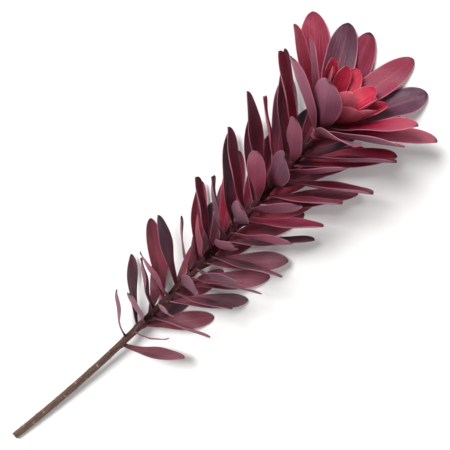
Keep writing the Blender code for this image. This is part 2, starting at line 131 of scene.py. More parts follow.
# Midline of a blade: the running sum of a direction whose tilt from the axis goes from the root's to
# the tip's as a power of the share, lifted by a soft maximum where it would pass below the floor, with
# each level step lengthened to keep the blade's length
def bladeMidline(blade):
    share = np.linspace(0, 1, rest["midlineSteps"] + 1)
    step = blade["length"] / rest["midlineSteps"]
    along, side, up = axisFrame(blade["height"])
    outward = side * math.cos(blade["azimuth"]) + up * math.sin(blade["azimuth"])
    around = -side * math.sin(blade["azimuth"]) + up * math.cos(blade["azimuth"])
    tilt = between(blade["tiltRoot"], blade["tiltTip"], share ** blade["bendPower"])[:, None]
    swing = (blade["sideBend"] * share)[:, None]
    way = along * np.cos(tilt) + (outward * np.cos(swing) + around * np.sin(swing)) * np.sin(tilt)
    moves = 0.5 * (way[1:] + way[:-1]) * step
    start = axisPoint(blade["height"]) + outward * (blade["seatRadius"] - rest["rootSink"])
    points = np.vstack([start, start + np.cumsum(moves, axis=0)])

    advance = points[:, 1] - points[0, 1]
    lowest = rest["solidThickness"] / 2 - rest["press"]
    lowest = lowest + rest["shingleSlope"] * np.clip(blade["forward"] - advance, 0, None)
    room = points[:, 2] - lowest
    lifted = lowest + 0.5 * (room + np.sqrt(room ** 2 + rest["bendSoftness"] ** 2))
    fade = np.clip(share / rest["liftFade"], 0, 1)
    height = between(points[:, 2], lifted, fade * fade * (3 - 2 * fade))
    steepest = rest["steepest"] * step
    rise = np.clip(np.diff(height), -steepest, steepest)
    level = moves[:, :2] / np.linalg.norm(moves[:, :2], axis=1, keepdims=True)
    level = level * np.sqrt(step ** 2 - rise ** 2)[:, None]
    points = np.vstack([start, start + np.cumsum(np.column_stack([level, rise]), axis=0)])
    return points, unit(np.gradient(points, axis=0)), points[:, 2] - lowest


# A blade's cross direction, laid level where there is less room below it than its half width
def levelNearFloor(across, room, width, azimuth):
    limit = np.clip(room / width, rest["flattest"], None)
    rise = across[:, 2] / (1 + (np.abs(across[:, 2]) / limit) ** 4) ** 0.25
    level = across[:, :2] + np.array([-rest["levelTurn"] * math.sin(azimuth), 0.0])
    level = level / np.linalg.norm(level, axis=1, keepdims=True)
    return np.column_stack([level * np.sqrt(1 - np.clip(rise, -1, 1) ** 2)[:, None], rise])


# Middle surface of a blade on a grid of shares along and lanes across: the midline plus the cross
# direction times half width times lane, plus the face direction times a channel in the lane squared,
# an edge ripple and slow swells
def bladeSheet(blade, share, lane):
    s = bladeShape
    fine = np.linspace(0, 1, rest["midlineSteps"] + 1)
    points, ways, rooms = bladeMidline(blade)
    middle = np.column_stack([np.interp(share, fine, points[:, i]) for i in range(3)])
    way = unit(np.column_stack([np.interp(share, fine, ways[:, i]) for i in range(3)]))
    room = np.interp(share, fine, rooms)
    width = halfWidth(blade, share, s["widestEdge"])
    trueWidth = halfWidth(blade, share, s["narrowest"])

    along, side, up = axisFrame(blade["height"])
    around = -side * math.sin(blade["azimuth"]) + up * math.cos(blade["azimuth"])
    across = unit(around - way * (way @ around)[:, None])
    turn = (blade["roll"] + blade["twist"] * share)[:, None]
    across = across * np.cos(turn) + np.cross(across, way) * np.sin(turn)
    across = levelNearFloor(across, room, width, blade["azimuth"])
    across = unit(across - way * np.sum(across * way, axis=1, keepdims=True))
    face = np.cross(across, way)

    lanes, shares = lane[None, :, None], share[:, None, None]
    free = between(rest["stiffness"], 1, np.clip(room / rest["flattenHeight"], 0, 1))[:, None, None]
    crease = np.sqrt(lanes ** 2 + s["creaseWidth"] ** 2) - s["creaseWidth"]
    hollow = blade["channel"] * between(lanes ** 2, crease, s["creaseShare"]) * trueWidth[:, None, None]
    phase = blade["wavePhase"]
    ripple = np.sin(s["ripplePace"] * shares + phase + s["rippleShift"] * lanes)
    ripple = blade["wave"] * ripple * lanes ** 2
    swell = np.sin(s["swellAlong"] * shares + s["swellShift"] * phase)
    swell = blade["swell"] * swell * np.sin(s["swellAcross"] * lanes + s["swellTurn"] * shares)
    sheet = middle[:, None] + across[:, None] * trueWidth[:, None, None] * lanes
    sheet = sheet + face[:, None] * (hollow + ripple + swell) * free
    normal = unit(np.cross(np.gradient(sheet, axis=1), np.gradient(sheet, axis=0)))
    return sheet, normal


# Closed blade: rows crowd to the tip and lanes to the edges, the sheet moves each way along its normal
# by half a thickness that thins to the edge, with a groove along the upper midrib and a ridge under it,
# and a rim of quads goes round both faces
def bladeBody(blade, grid, relief):
    rows, columns = grid
    share = 1 - (1 - np.linspace(0, 1, rows)) ** bladeShape["rowCrowding"]
    widest = 0.5 * math.pi * bladeShape["laneCrowding"]
    lane = np.sin(np.linspace(-1, 1, columns) * widest) / math.sin(widest)
    sheet, normal = bladeSheet(blade, share, lane)
    shares, lanes = share[:, None], lane[None, :]
    body = relief["thickness"] * (1 - relief["edgeThin"] * np.abs(lanes) ** 3)
    root = (blade["rootThickness"] - relief["thickness"]) * np.exp(-shares / rest["rootFade"])
    half = 0.5 * (body + np.maximum(root, 0))
    ribFade = np.clip(bladeShape["ribEnd"] - shares, 0, 1) * np.clip(shares * bladeShape["ribStart"], 0, 1)
    rib = np.exp(-(lanes / relief["ribWidth"]) ** 2) * ribFade
    upper = sheet + normal * (half - relief["groove"] * rib)[:, :, None]
    lower = sheet - normal * (half + relief["ridge"] * rib)[:, :, None]
    sunk = np.clip(-np.minimum(upper[:, :, 2], lower[:, :, 2]), 0, None)
    upper[:, :, 2] += sunk
    lower[:, :, 2] += sunk

    count = rows * columns
    cell = (np.arange(rows - 1)[:, None] * columns + np.arange(columns - 1)[None, :]).ravel()
    top = np.stack([cell, cell + 1, cell + columns + 1, cell + columns], axis=1)
    bottom = top[:, ::-1] + count
    edge = np.concatenate([np.arange(columns), np.arange(1, rows) * columns + columns - 1,
                           (rows - 1) * columns + np.arange(columns - 2, -1, -1),
                           np.arange(rows - 2, 0, -1) * columns])
    after = np.roll(edge, -1)
    rim = np.stack([edge, edge + count, after + count, after], axis=1)
    points = np.concatenate([upper.reshape(-1, 3), lower.reshape(-1, 3)])
    place = np.stack(np.broadcast_arrays((lanes + 1) / 2, shares), axis=-1).reshape(-1, 2)
    facts = {
        "place": np.concatenate([place, place]),
        "underside": np.repeat([0.0, 1.0], count),
        "tint": np.full(2 * count, blade["tint"]),
        "age": np.full(2 * count, blade["age"]),
        "seed": np.full(2 * count, blade["seed"]),
    }
    return points, [np.concatenate([top, bottom, rim])], facts


# Faces of a closed tube of rings: quads from each ring to the next, and a flat cap at each end
def tubeFaces(rings, sides):
    start = np.arange(rings - 1)[:, None] * sides
    corner = np.arange(sides)
    low = (start + corner).ravel()
    beside = (start + (corner + 1) % sides).ravel()
    quads = np.stack([low, low + sides, beside + sides, beside], axis=1)
    return [quads, corner[None], corner[None, ::-1] + (rings - 1) * sides]


# A round body along the axis: rings of radius times the directions outwards, coloured as blade roots are
def ringBody(heights, radii, sides, tint, age):
    outward = roundAxis(heights, 2 * math.pi * np.arange(sides) / sides)
    points = (axisPoint(heights)[:, None] + outward * radii[:, None, None]).reshape(-1, 3)
    rings = len(heights)
    share = np.repeat(np.linspace(0, rest["rootBand"], rings), sides)
    facts = {
        "place": np.stack([np.full(len(points), 0.5), share], axis=1),
        "underside": np.zeros(len(points)), "tint": np.full(len(points), tint),
        "age": np.full(len(points), age), "seed": np.zeros(len(points)),
    }
    return points, tubeFaces(rings, sides), facts


# One mesh object from several bodies, each with points, arrays of faces and facts, moved to the frame's
# place, with a UV map and the facts as point attributes
def meshPiece(name, bodies, shift):
    points = np.concatenate([body[0] for body in bodies]) + shift
    corners, sizes, base = [], [], 0
    for bodyPoints, faces, facts in bodies:
        corners += [(group + base).ravel() for group in faces]
        sizes += [np.full(len(group), group.shape[1]) for group in faces]
        base += len(bodyPoints)
    corners, sizes = np.concatenate(corners), np.concatenate(sizes)
    starts = np.concatenate([[0], np.cumsum(sizes)[:-1]])

    mesh = bpy.data.meshes.new(name)
    mesh.vertices.add(len(points))
    mesh.vertices.foreach_set("co", points.astype(np.float32).ravel())
    mesh.loops.add(len(corners))
    mesh.loops.foreach_set("vertex_index", corners.astype(np.int32))
    mesh.polygons.add(len(sizes))
    mesh.polygons.foreach_set("loop_start", starts.astype(np.int32))
    mesh.update(calc_edges=True)
    mesh.validate()
    for key in bodies[0][2]:
        values = np.concatenate([facts[key] for bodyPoints, faces, facts in bodies])
        if key == "place":
            layer = mesh.uv_layers.new(name="bladeMap")
            layer.data.foreach_set("uv", values[corners].astype(np.float32).ravel())
        else:
            field = mesh.attributes.new(key, "FLOAT", "POINT")
            field.data.foreach_set("value", values.astype(np.float32))
    mesh.shade_smooth()
    mesh.set_sharp_from_angle(angle=sharpAngle)
    thing = bpy.data.objects.new(name, mesh)
    bpy.context.scene.collection.objects.link(thing)
    print(f"{name}: {len(points)} points, {int((sizes - 2).sum())} triangles")
    return thing


# Seeded draws from -1 to 1, a row for each blade
def draws(offset, count, columns):
    return np.random.default_rng(plant["seed"] + offset).uniform(-1, 1, (count, columns))


# Radius of the woody stem, which thins evenly to its top
def stemRadius(height):
    return between(plant["cutRadius"], plant["topRadius"], height / plant["stemLength"])


# The values that a blade has unless its group changes them
def newBlade(**values):
    blade = {"bendPower": 0.6, "widest": 0.6, "sideBend": 0.0, "roll": 0.0, "twist": 0.0, "channel": 0.2,
             "wave": 0.0, "wavePhase": 0.0, "swell": 0.0, "forward": 0.0, "rootThickness": 0.0017,
             "tint": 0.5, "age": 1.0, "seed": 0.0}
    blade.update(values)
    return blade


leafSettings = {
    "count": 66, "first": 0.214, "last": 0.507, "crowding": 0.80,
    "lengthLow": 0.070, "lengthHigh": 0.088, "halfWidthLow": 0.0080, "halfWidthHigh": 0.0106,
    "tiltRootLow": 55, "tiltRootHigh": 52, "tiltTip": 38, "forwardPart": 0.72, "firmness": 0.7,
    "azimuthSpread": 0.16, "sizeSpread": 0.08, "rootTiltSpread": 5, "tipTiltSpread": 12,
    "sideBend": 0.40, "roll": 0.35, "twist": 0.60, "channel": 0.24, "channelSpread": 0.12,
    "wave": 0.0006, "swell": 0.0006,
    "grid": (36, 13),
    "relief": {"thickness": 0.00062, "edgeThin": 0.35,
               "groove": 0.00022, "ridge": 0.00030, "ribWidth": 0.085},
}


# Leaves in a spiral up the stem, longer, wider and steeper towards the head
def leafBlades():
    s = leafSettings
    tints = draws(11, s["count"], 2)[:, 0]
    blades = []
    for index, draw in enumerate(draws(1, s["count"], 8)):
        part = index / (s["count"] - 1)
        height = between(s["first"], s["last"], part ** s["crowding"])
        length = between(s["lengthLow"], s["lengthHigh"], part)
        width = between(s["halfWidthLow"], s["halfWidthHigh"], part)
        tiltRoot = between(s["tiltRootLow"], s["tiltRootHigh"], part)
        loose = 1 - s["firmness"] * part ** 2
        blades.append(newBlade(
            height=height, azimuth=index * plant["goldenAngle"] + s["azimuthSpread"] * draw[0],
            length=length * (1 + s["sizeSpread"] * draw[1]),
            halfWidth=width * (1 + s["sizeSpread"] * draw[2]),
            tiltRoot=math.radians(tiltRoot + s["rootTiltSpread"] * loose * draw[7]),
            tiltTip=math.radians(s["tiltTip"] + s["tipTiltSpread"] * loose * draw[3]),
            seatRadius=stemRadius(height), sideBend=s["sideBend"] * loose * draw[4],
            roll=s["roll"] * loose * draw[5], twist=s["twist"] * loose * draw[6],
            channel=s["channel"] + s["channelSpread"] * draw[7],
            wave=s["wave"], wavePhase=3 * draw[0], swell=s["swell"], forward=s["forwardPart"] * length,
            tint=0.5 + 0.5 * tints[index], age=part, seed=index / s["count"]))
    return blades


outerSettings = {
    "count": 13, "length": 0.092, "halfWidth": 0.0128, "forward": 0.078, "firstSeat": 0.0032,
    "seatSpread": 0.0115, "tiltRoot": 52, "tiltTipLow": 56, "tiltTipHigh": 34, "tipTiltSpread": 4,
    "azimuthSpread": 0.08, "shorter": 0.14, "lengthSpread": 0.05, "slimmer": 0.08, "widthSpread": 0.06,
    "sideBend": 0.26, "roll": 0.12, "twist": 0.30, "channel": 0.27, "channelSpread": 0.05,
    "wave": 0.0005, "swell": 0.0004, "grid": (48, 19),
    "relief": {"thickness": 0.00062, "edgeThin": 0.40,
               "groove": 0.00022, "ridge": 0.00030, "ribWidth": 0.060},
}


# Broad bracts round the head, each a little steeper than the one below it
def outerBlades():
    s = outerSettings
    tints = draws(12, s["count"], 2)[:, 0]
    blades = []
    for index, draw in enumerate(draws(2, s["count"], 8)):
        part = index / (s["count"] - 1)
        blades.append(newBlade(
            height=plant["stemLength"] + s["firstSeat"] + s["seatSpread"] * part,
            azimuth=(leafSettings["count"] + index) * plant["goldenAngle"] + s["azimuthSpread"] * draw[0],
            length=s["length"] * (1 - s["shorter"] * part + s["lengthSpread"] * draw[1]),
            halfWidth=s["halfWidth"] * (1 - s["slimmer"] * part + s["widthSpread"] * draw[2]),
            tiltRoot=math.radians(s["tiltRoot"]),
            tiltTip=math.radians(between(s["tiltTipLow"], s["tiltTipHigh"], part)
                                 + s["tipTiltSpread"] * draw[3]),
            seatRadius=plant["outerSeatRadius"], bendPower=0.5, sideBend=s["sideBend"] * draw[4],
            roll=s["roll"] * draw[5], twist=s["twist"] * draw[6],
            channel=s["channel"] + s["channelSpread"] * draw[7],
            wave=s["wave"], wavePhase=3 * draw[0], swell=s["swell"], forward=s["forward"],
            tint=0.5 + 0.5 * tints[index], age=part, seed=index / s["count"]))
    return blades


innerSettings = {
    "count": 11, "length": 0.043, "halfWidth": 0.0098, "firstSeat": 0.0024, "seatSpread": 0.0050,
    "tiltRootLow": 70, "tiltRootHigh": 60, "tiltTipLow": 27, "tiltTipHigh": 9, "tipTiltSpread": 3,
    "shorter": 0.18, "lengthSpread": 0.04, "slimmer": 0.16, "widthSpread": 0.05, "widest": 0.58,
    "roll": 0.03, "channel": 0.32, "channelSpread": 0.03, "grid": (36, 17),
    "relief": {"thickness": 0.00060, "edgeThin": 0.45,
               "groove": 0.00012, "ridge": 0.00018, "ribWidth": 0.070},
}


# Short cupped bracts that close round the cone
def innerBlades():
    s = innerSettings
    base = plant["stemLength"] + plant["outerSeatLength"] + plant["nodeGap"]
    tints = draws(13, s["count"], 2)[:, 0]
    blades = []
    for index, draw in enumerate(draws(3, s["count"], 8)):
        part = index / (s["count"] - 1)
        blades.append(newBlade(
            height=base + s["firstSeat"] + s["seatSpread"] * part,
            azimuth=(leafSettings["count"] + outerSettings["count"] + index) * plant["goldenAngle"],
            length=s["length"] * (1 - s["shorter"] * part + s["lengthSpread"] * draw[1]),
            halfWidth=s["halfWidth"] * (1 - s["slimmer"] * part + s["widthSpread"] * draw[2]),
            tiltRoot=math.radians(between(s["tiltRootLow"], s["tiltRootHigh"], part)),
            tiltTip=math.radians(between(s["tiltTipLow"], s["tiltTipHigh"], part)
                                 + s["tipTiltSpread"] * draw[3]),
            seatRadius=plant["innerSeatRadius"], bendPower=0.5, widest=s["widest"],
            roll=s["roll"] * draw[5], channel=s["channel"] + s["channelSpread"] * draw[7],
            tint=0.5 + 0.5 * tints[index], age=part, seed=index / s["count"]))
    return blades


coneSettings = {
    "length": 0.0190, "radius": 0.0064, "scales": 32, "scaleLength": 0.0062, "scaleHalfWidth": 0.0021,
    "shrink": 0.45, "firstPlace": 0.08, "lastPlace": 0.80, "scaleLift": 0.0009,
    "tiltRootLow": 34, "tiltRootHigh": 24, "tiltTipLow": -4, "tiltTipHigh": -18,
    "footShare": 0.62, "swellEnd": 0.75, "tipPower": 0.8, "topShare": 0.985, "ringCrowding": 1.6,
    "grid": (9, 7), "sides": 36, "rings": 30,
    "relief": {"thickness": 0.00065, "edgeThin": 0.30, "groove": 0.0, "ridge": 0.00015, "ribWidth": 0.3},
}


# Radius of the cone's core: a sine swell under a rounded tip
def coneRadius(share):
    s = coneSettings
    body = between(s["footShare"], 1, np.sin(math.pi * np.clip(share / s["swellEnd"], 0, 1)))
    return s["radius"] * body * (1 - share ** 3) ** s["tipPower"]


# Small scales that overlap in a spiral over the cone
def scaleBlades():
    s = coneSettings
    base = plant["stemLength"] + plant["outerSeatLength"] + plant["innerSeatLength"] + 2 * plant["nodeGap"]
    tints = draws(14, s["scales"], 2)[:, 0]
    blades = []
    for index in range(s["scales"]):
        part = index / (s["scales"] - 1)
        size = 1 - s["shrink"] * part
        place = between(s["firstPlace"], s["lastPlace"], part)
        blades.append(newBlade(
            height=base + s["length"] * place, azimuth=index * plant["goldenAngle"],
            length=s["scaleLength"] * size, halfWidth=s["scaleHalfWidth"] * size,
            tiltRoot=math.radians(between(s["tiltRootLow"], s["tiltRootHigh"], part)),
            tiltTip=math.radians(between(s["tiltTipLow"], s["tiltTipHigh"], part)),
            seatRadius=float(coneRadius(place)) + s["scaleLift"],
            widest=0.5, channel=0.25, bendPower=1.0,
            rootThickness=0.0008, tint=0.5 + 0.5 * tints[index], age=part, seed=index / s["scales"]))
    return blades


stemSettings = {
    "rings": 460, "sides": 44, "capRings": 9, "cutAngle": math.radians(50), "cutFade": 0.012,
    "scarFirst": 0.018, "scarLast": 0.205, "scarCount": 24, "scarHalfWidth": 0.0019,
    "scarHalfLength": 0.0012, "scarProud": 0.0007, "capClose": 0.985,
    "pitDepth": 0.75, "pitLength": 0.5, "pitWidth": 0.55, "pitRise": 0.0002,
    "cushionBelow": 0.0012, "cushionHalfLength": 0.0034, "cushionHalfWidth": 0.0020,
    "cushionProud": 0.0008, "grain": 0.00008,
}


# Low swellings on the bark: a sum of bells in height and angle, one under each leaf or scar
def barkBells(heights, angles, centres, azimuths, halfLength, halfWidth, proud):
    spread = (heights[:, None, None] - centres[None, None, :]) / halfLength
    turn = angles[None, :, None] - azimuths[None, None, :]
    turn = (turn + math.pi) % (2 * math.pi) - math.pi
    reach = turn * stemRadius(heights)[:, None, None] / halfWidth
    return proud * np.exp(-spread ** 2 - reach ** 2).sum(axis=2)


# The woody stem: rings round the axis whose radius is the taper plus ribs of grain, cushions under the
# leaves and the scars of stripped ones, with the first rings slanted and closed by a flat cut face
def stemBody(leaves):
    s = stemSettings
    angle = 2 * math.pi * np.arange(s["sides"]) / s["sides"]
    heights = np.linspace(0, plant["stemLength"], s["rings"])
    scars = np.linspace(s["scarFirst"], s["scarLast"], s["scarCount"])
    scarAngles = np.arange(s["scarCount"]) * plant["goldenAngle"]
    scarBells = barkBells(heights, angle, scars, scarAngles, s["scarHalfLength"], s["scarHalfWidth"], 1.0)
    pits = barkBells(heights, angle, scars + s["pitRise"], scarAngles,
                     s["scarHalfLength"] * s["pitLength"], s["scarHalfWidth"] * s["pitWidth"], 1.0)
    leafHeights = np.array([leaf["height"] for leaf in leaves])
    leafAngles = np.array([leaf["azimuth"] for leaf in leaves])
    cushions = barkBells(heights, angle, leafHeights - s["cushionBelow"], leafAngles,
                         s["cushionHalfLength"], s["cushionHalfWidth"], s["cushionProud"])
    tall = heights[:, None]
    grain = np.sin(9 * angle[None, :] + 40 * tall) + 0.6 * np.sin(17 * angle[None, :] - 130 * tall + 1.3)
    grain = grain * (0.6 + 0.4 * np.sin(310 * tall + 3 * angle[None, :]))
    radius = stemRadius(tall) + cushions + s["grain"] * grain
    radius = radius + s["scarProud"] * (scarBells - s["pitDepth"] * pits)

    along = axisFrame(heights)[0]
    slant = np.clip(1 - tall / s["cutFade"], 0, 1) * math.tan(s["cutAngle"]) * plant["cutRadius"]
    points = axisPoint(heights)[:, None] + roundAxis(heights, angle) * radius[:, :, None]
    points = points + along[:, None] * (slant * np.sin(angle)[None, :])[:, :, None]
    points[:, :, 2] = np.maximum(points[:, :, 2], 0.0)

    shrink = np.linspace(0, 1, s["capRings"] + 1)[1:][:, None, None] * s["capClose"]
    centre = points[0].mean(axis=0)
    cap = points[0][None] * (1 - shrink) + centre * shrink
    rings = np.concatenate([cap[::-1], points])
    total = (len(rings), s["sides"])
    onCut = np.concatenate([1 - shrink[::-1, :, 0], np.full((s["rings"], 1), 2.0)])
    onCut[s["capRings"]] = 2.0
    share = np.concatenate([np.zeros((s["capRings"], 1)), tall / plant["stemLength"]])
    spare = np.zeros((s["capRings"], s["sides"]))
    roundMap = np.stack([np.cos(angle), np.sin(angle)], axis=1)
    facts = {
        "place": np.broadcast_to(roundMap, (*total, 2)).reshape(-1, 2),
        "cutShare": np.broadcast_to(onCut, total).ravel(), "height": np.broadcast_to(share, total).ravel(),
        "scar": np.concatenate([spare, scarBells]).ravel(), "pit": np.concatenate([spare, pits]).ravel(),
        "cushion": np.concatenate([spare, cushions / s["cushionProud"]]).ravel(),
    }
    return rings.reshape(-1, 3), tubeFaces(*total), facts


hairSettings = {
    "rows": {"leaves": 48, "outerBracts": 96, "innerBracts": 60},
    "lengths": {"leaves": 0.00055, "outerBracts": 0.00080, "innerBracts": 0.00070},
    "radius": 0.00003, "sink": 0.00012, "lean": math.radians(48), "stray": 0.35,
    "first": 0.14, "last": 0.97, "shortest": 0.6, "longest": 1.3, "floorReach": 0.0012,
}


# Silky hairs along both margins of a blade: slim three-sided spikes, each rooted just inside the margin,
# that lean to the tip by the given angle and stray from the blade's plane by a seeded draw
def hairBody(blade, count, length, chance):
    s = hairSettings
    share = np.sort(chance.uniform(s["first"], s["last"], count))
    sheet, normal = bladeSheet(blade, share, np.array([-1.0, -0.9, 0.9, 1.0]))
    margin = np.concatenate([sheet[:, 0], sheet[:, 3]])
    outward = unit(np.concatenate([sheet[:, 0] - sheet[:, 1], sheet[:, 3] - sheet[:, 2]]))
    face = np.concatenate([normal[:, 0], normal[:, 3]])
    onward = unit(np.concatenate([np.gradient(sheet[:, 0], axis=0), np.gradient(sheet[:, 3], axis=0)]))
    stray = chance.uniform(-s["stray"], s["stray"], (2 * count, 1))
    way = unit(outward * math.cos(s["lean"]) + onward * math.sin(s["lean"]) + face * stray)
    way[:, 2] = np.where(margin[:, 2] < s["floorReach"], np.abs(way[:, 2]), way[:, 2])
    root = margin - outward * s["sink"]
    tall = length * chance.uniform(s["shortest"], s["longest"], (2 * count, 1))
    turn = 2 * math.pi * np.arange(3) / 3
    beside = np.cross(way, face)
    base = face[:, None] * np.cos(turn)[None, :, None] + beside[:, None] * np.sin(turn)[None, :, None]
    points = np.concatenate([root[:, None] + base * s["radius"], (root + way * tall)[:, None]], axis=1)
    points[:, :, 2] = np.maximum(points[:, :, 2], 0.0)
    spike = np.array([[0, 1, 3], [1, 2, 3], [2, 0, 3], [0, 2, 1]])
    faces = (np.arange(2 * count)[:, None, None] * 4 + spike[None]).reshape(-1, 3)
    facts = {"reach": np.tile([0.0, 0.0, 0.0, 1.0], 2 * count), "age": np.full(8 * count, blade["age"])}
    return points.reshape(-1, 3), [faces], facts


# The hairs of every leaf and bract, longer on the young ones near the head
def hairBodies(blades, group):
    s = hairSettings
    chance = np.random.default_rng(plant["seed"] + 20 + len(blades))
    return [hairBody(blade, s["rows"][group], s["lengths"][group] * between(0.5, 1, blade["age"]), chance)
            for blade in blades]


# A shader socket that takes part in Python sums, and makes any other node by its type
class Wire:
    def __init__(self, tree, socket=None):
        self.tree, self.socket = tree, socket

    def make(self, kind, settings=None, sockets=None, output=0):
        node = self.tree.nodes.new(kind)
        for name, value in (settings or {}).items():
            setattr(node, name, value)
        for name, value in (sockets or {}).items():
            if isinstance(value, Wire):
                self.tree.links.new(value.socket, node.inputs[name])
            else:
                node.inputs[name].default_value = value
        return Wire(self.tree, node.outputs[output])

    def maths(self, operation, first, second=0.0):
        return self.make("ShaderNodeMath", {"operation": operation}, {0: first, 1: second})

    def __add__(self, other):
        return self.maths("ADD", self, other)

    def __sub__(self, other):
        return self.maths("SUBTRACT", self, other)

    def __mul__(self, other):
        return self.maths("MULTIPLY", self, other)

    def __pow__(self, other):
        return self.maths("POWER", self, other)

    def __rsub__(self, other):
        return self.maths("SUBTRACT", other, self)

    __radd__, __rmul__ = __add__, __mul__

    def size(self):                                        # without its sign
        return self.maths("ABSOLUTE", self)

    def remainder(self):                                   # what is left past a whole number
        return self.maths("FRACT", self)

    def between(self, low, high):                          # 0 below low, 1 above high, smooth between
        return self.make("ShaderNodeMapRange", {"interpolation_type": "SMOOTHSTEP", "clamp": True},
                         {"Value": self, "From Min": low, "From Max": high})

    def mix(self, first, second):                          # colours mixed by this factor
        return self.make("ShaderNodeMix", {"data_type": "RGBA", "clamp_factor": True},
                         {0: self, 6: first, 7: second}, output=2)

    def vector(self, x, y, z):
        return self.make("ShaderNodeCombineXYZ", None, {0: x, 1: y, 2: z})

    def part(self, index):                                 # one number of a vector
        return self.make("ShaderNodeSeparateXYZ", None, {0: self}, output=index)

    def noise(self, place, scale, detail=2.0, roughness=0.5):
        return self.make("ShaderNodeTexNoise", None,
                         {"Vector": place, "Scale": scale, "Detail": detail, "Roughness": roughness})

    def fact(self, name):                                  # an attribute of the piece
        return self.make("ShaderNodeAttribute", {"attribute_name": name}, output=2)


# Colours are given as on a screen, from 0 to 255, and reach the shaders as linear values
def paint(red, green, blue):
    screen = np.array([red, green, blue]) / 255
    linear = np.where(screen <= 0.04045, screen / 12.92, ((screen + 0.055) / 1.055) ** 2.4)
    return (*linear.tolist(), 1.0)


# A new material with its Principled shader, and a wire to build from
def newFinish(name, shine):
    finish = bpy.data.materials.new(name)
    finish.use_nodes = True
    tree = finish.node_tree
    shader = tree.nodes["Principled BSDF"]
    for socket, value in shine.items():
        shader.inputs[socket].default_value = value
    return finish, shader, Wire(tree)


# Links a finished colour, roughness and bump height to the shader
def joinFinish(wire, shader, colour, roughness, height, bumpDistance):
    bump = wire.make("ShaderNodeBump", None, {"Height": height, "Distance": bumpDistance})
    for socket, value in (("Base Color", colour), ("Roughness", roughness), ("Normal", bump)):
        wire.tree.links.new(value.socket, shader.inputs[socket])


# Finish of a blade: a colour for each blade from dusk to bright, blotches and lengthwise streaks, a
# flush to one end, grey with age, slate on some blades, a dusty silky underside, a mauve bloom on the upper
# face that is partly painted sheen, a pale end on others that is partly painted highlight, painted shade
# darkening the base, fine veins, a pale rib, a pale edge that is partly painted highlight, a dark tip and
# dark flecks
def bladeFinish(name, look):
    finish, shader, wire = newFinish(name, look["shine"])
    place = wire.make("ShaderNodeUVMap", {"uv_map": "bladeMap"})
    across, along = place.part(0), place.part(1)
    lane = (across * 2 - 1).size()
    tint, age, seed, under = (wire.fact(key) for key in ("tint", "age", "seed", "underside"))
    turn = seed * 61.7
    blotch = wire.noise(wire.vector(across * 1.6, along * 3.1, turn), 1.0, 3.0, 0.55)
    streak = wire.noise(wire.vector(across * 34, along * 3.0, turn), 1.0, 3.0, 0.6)
    silk = wire.noise(wire.vector(across * 150, along * 46, turn), 1.0, 2.0, 0.6)
    vein = (lane * look["veins"] + (blotch - 0.5) * 0.7).remainder()
    vein = 1 - (vein - 0.5).size().between(0.0, 0.16)
    chance = (seed * 41.3 + 0.17).remainder()

    chosen = (seed * 17.9 + 0.31).remainder()
    shade = tint + (blotch - 0.5) * look["blotch"] + (streak - 0.5) * look["streak"]
    shade = shade + (age - 0.6) * look["youth"] - along.between(0.45, 1.0) * (1 - tint) * look["tipDusk"]
    colour = shade.between(0.0, 0.42).mix(look["dusk"], look["deep"])
    colour = shade.between(0.40, 0.95).mix(colour, look["bright"])
    flush = along.between(look["flushFrom"], look["flushTo"]) * (0.55 + 0.45 * tint) * look["flush"]
    colour = flush.mix(colour, look["flushColour"])
    old = (1 - age) ** 1.6 * look["ageing"] * (blotch + 0.3)
    colour = old.mix(colour, look["old"])
    slate = chosen.between(0.60, 0.78) * (0.45 + 0.55 * blotch.between(0.3, 0.7))
    slate = slate * along.between(0.1, 0.6)
    colour = (slate * look["slate"]).mix(colour, look["slateColour"])
    dusty = under * look["dust"] * (0.55 + 0.6 * streak) * (0.35 + 0.75 * along.between(0.0, 0.55))
    dusty = dusty * (0.45 + 0.65 * chance.between(0.05, 0.7))
    # Painted sheen: a mauve bloom in patches on the upper face, partly the silky hairs' own colour and
    # partly painted sheen
    sheen = (1 - under) * look["bloomAndSheen"] * blotch.between(0.35, 0.75)
    colour = dusty.mix(colour, look["mauve"])
    colour = sheen.mix(colour, look["mauve"])
    # Paler towards the end on some blades: partly their own paler tips, partly a painted highlight
    pale = along.between(0.45, 0.95) * (1 - chosen.between(0.25, 0.6)) * (0.3 + 0.7 * streak)
    colour = (pale * look["paleTipAndHighlight"]).mix(colour, look["paleAndHighlightColour"])
    # Painted shade: each blade darkens towards its root, where shade falls among the leaves and the stem
    colour = ((1 - along.between(0.0, look["paintedShadeReach"])) * look["base"]).mix(colour, look["paintedShadeColour"])
    colour = (vein * streak * look["vein"]).mix(colour, look["ribColour"])
    rib = (1 - lane.between(0.0, look["ribWidth"])) * (1 - along * 0.75)
    colour = (rib * look["rib"]).mix(colour, look["ribColour"])
    # A pale margin: partly the real pale rim, partly a painted highlight along the edge
    edge = lane.between(0.90, 1.0) * (1 - along.between(0.93, 1.0))
    colour = (edge * look["edge"]).mix(colour, look["paleAndHighlightColour"])
    tip = along.between(0.965, 0.995) * (0.25 + 0.75 * chance.between(0.2, 0.7))
    colour = (tip * look["tip"]).mix(colour, look["tipColour"])
    fleck = wire.noise(wire.vector(across * 9, along * 24, turn), 1.0, 2.0, 0.5).between(0.70, 0.78)
    colour = (fleck * look["fleck"]).mix(colour, look["tipColour"])

    roughness = look["roughness"] + under * 0.10 + (streak - 0.5) * 0.16 + (silk - 0.5) * 0.12
    height = streak * 0.55 + silk * 0.35 + blotch * 0.5 + vein * 0.25
    joinFinish(wire, shader, colour, roughness, height, look["bump"])
    return finish


